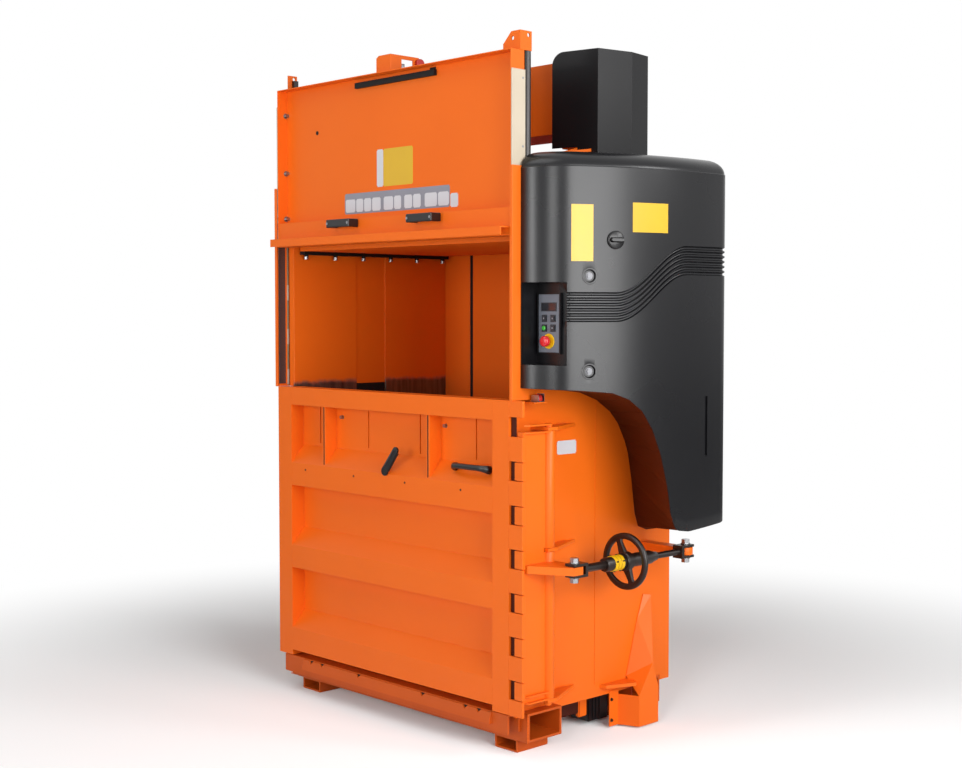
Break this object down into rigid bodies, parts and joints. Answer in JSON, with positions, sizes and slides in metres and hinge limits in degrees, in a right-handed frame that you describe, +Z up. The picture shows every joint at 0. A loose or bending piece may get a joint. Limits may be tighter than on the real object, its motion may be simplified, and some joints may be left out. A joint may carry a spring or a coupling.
{
  "type": "recycling baler",
  "caption": "Vertical recycling baler: orange chamber with a sliding gate above, a hinged bale door below, an inner press platen, and a black side cover with controls.",
  "frame": {"origin": "middle of the footprint, on the floor", "axes": "+Z up, -Y towards the loading side with gate and door, +X towards the side cover and its controls"},
  "size_m": [1.6318, 0.955, 2.417],
  "materials": {
    "orange": "orange powder coat",
    "cream_plastic": "cream sliding plastic",
    "black_plastic": "satin black",
    "black_paint": "black enamel",
    "rubber": "matt black",
    "steel": "ground steel",
    "yellow_paint": "yellow enamel",
    "red_plastic": "red moulded plastic",
    "grey_plastic": "grey film",
    "display": "dark display window",
    "button": "moulded button"
  },
  "bodies": {
    "frame": {"chamber_left": "orange", "chamber_right": "orange", "chamber_back": "orange", "chamber_floor": "orange", "fork_tube_front": "orange", "fork_tube_rear": "orange", "front_skirt": "orange", "corner_guard": "orange", "guide_post_left": "orange", "guide_post_right": "orange", "cross_beam": "orange", "hinge_leaf_1": "orange", "hinge_leaf_2": "orange", "hinge_leaf_3": "orange", "lock_hinge": "orange", "turnbuckle_anchor": "orange", "cover_return": "orange", "switch_bracket": "orange", "cylinder_barrel": "black_paint", "spring_rod_left": "steel", "spring_rod_right": "steel", "side_cover": "black_plastic", "beam_cowl": "black_plastic", "stop_collar": "yellow_paint", "safety_switch": "red_plastic", "control_panel": "grey_plastic", "rating_plate": "grey_plastic", "display_glass": "display"},
    "gate": {"gate_panel": "orange", "gate_grip_left": "black_plastic", "gate_grip_right": "black_plastic", "gate_seal": "rubber", "slide_strip_left": "cream_plastic", "slide_strip_right": "cream_plastic", "spring_tube_left": "black_paint", "spring_tube_right": "black_paint", "hose_bracket": "orange", "hose_fitting": "steel", "hose_cap": "red_plastic"},
    "stage": {"cylinder_stage": "steel"},
    "press": {"platen": "orange", "wiper_strip_left": "rubber", "wiper_strip_right": "rubber"},
    "door": {"bale_door": "orange", "door_teeth": "orange", "door_bow": "black_paint"},
    "latch": {"latch_lever": "black_paint"},
    "lock": {"lock_plate": "orange", "lock_fingers": "orange"},
    "link": {"rear_rod": "black_paint"},
    "wheel": {"sleeve_rear": "black_paint", "sleeve_front": "yellow_paint", "handwheel": "black_paint"},
    "screw": {"front_rod": "black_paint"},
    "stop": {"stop_head": "red_plastic"},
    "mains": {"mains_switch": "black_plastic"},
    "button_1": {"push_button_1": "button"},
    "button_2": {"push_button_2": "button"},
    "button_3": {"push_button_3": "button"},
    "button_4": {"push_button_4": "button"}
  },
  "joints": [
    {"name": "gate_slide", "type": "slide", "parent": "frame", "child": "gate", "axis": [0, 0, -1], "range_m": [0, 0.54]},
    {"name": "press_stroke", "type": "slide", "parent": "frame", "child": "press", "axis": [0, 0, -1], "range_m": [0, 0.8]},
    {"name": "stage_stroke", "type": "slide", "parent": "frame", "child": "stage", "axis": [0, 0, -1], "range_m": [0, 0.4]},
    {"name": "door_swing", "type": "hinge", "parent": "frame", "child": "door", "pos_m": [-0.80594, -0.3995, 0.6], "axis": [0, 0, -1], "range_deg": [0, 120]},
    {"name": "latch_turn", "type": "hinge", "parent": "door", "child": "latch", "pos_m": [-0.14194, -0.4355, 0.918], "axis": [0, -1, 0], "range_deg": [0, 90]},
    {"name": "lock_swing", "type": "hinge", "parent": "frame", "child": "lock", "pos_m": [0.53706, -0.2915, 0.645], "axis": [0, 0, 1], "range_deg": [0, 20]},
    {"name": "link_swing", "type": "hinge", "parent": "frame", "child": "link", "pos_m": [0.66806, 0.2755, 0.645], "axis": [0, 0, -1], "range_deg": [0, 0.38]},
    {"name": "wheel_spin", "type": "hinge", "parent": "link", "child": "wheel", "pos_m": [0.66806, -0.0495, 0.645], "axis": [0, 1, 0], "range_deg": [0, 2735.6]},
    {"name": "screw_slide", "type": "slide", "parent": "link", "child": "screw", "axis": [0, 1, 0], "range_m": [0, 0.04568]},
    {"name": "stop_press", "type": "slide", "parent": "frame", "child": "stop", "axis": [0, 1, 0], "range_m": [0, 0.005], "stiffness_N_per_m": 800, "springref_m": -0.002},
    {"name": "mains_turn", "type": "hinge", "parent": "frame", "child": "mains", "pos_m": [0.73205, -0.1805, 1.726], "axis": [0.9287, -0.3709, 0], "range_deg": [0, 90]},
    {"name": "button_press_1", "type": "slide", "parent": "frame", "child": "button_1", "axis": [0, 1, 0], "range_m": [0, 0.003], "stiffness_N_per_m": 400, "springref_m": -0.001},
    {"name": "button_press_2", "type": "slide", "parent": "frame", "child": "button_2", "axis": [0, 1, 0], "range_m": [0, 0.003], "stiffness_N_per_m": 400, "springref_m": -0.001},
    {"name": "button_press_3", "type": "slide", "parent": "frame", "child": "button_3", "axis": [0, 1, 0], "range_m": [0, 0.003], "stiffness_N_per_m": 400, "springref_m": -0.001},
    {"name": "button_press_4", "type": "slide", "parent": "frame", "child": "button_4", "axis": [0, 1, 0], "range_m": [0, 0.003], "stiffness_N_per_m": 400, "springref_m": -0.001}
  ],
  "couplings": [
    {"joint": "stage_stroke", "follows": "press_stroke", "ratio": 0.5},
    {"joint": "link_swing", "follows": "lock_swing", "ratio": 0.018515},
    {"joint": "wheel_spin", "follows": "lock_swing", "ratio": 136.73},
    {"joint": "screw_slide", "follows": "lock_swing", "m_per_rad": 0.13057}
  ]
}
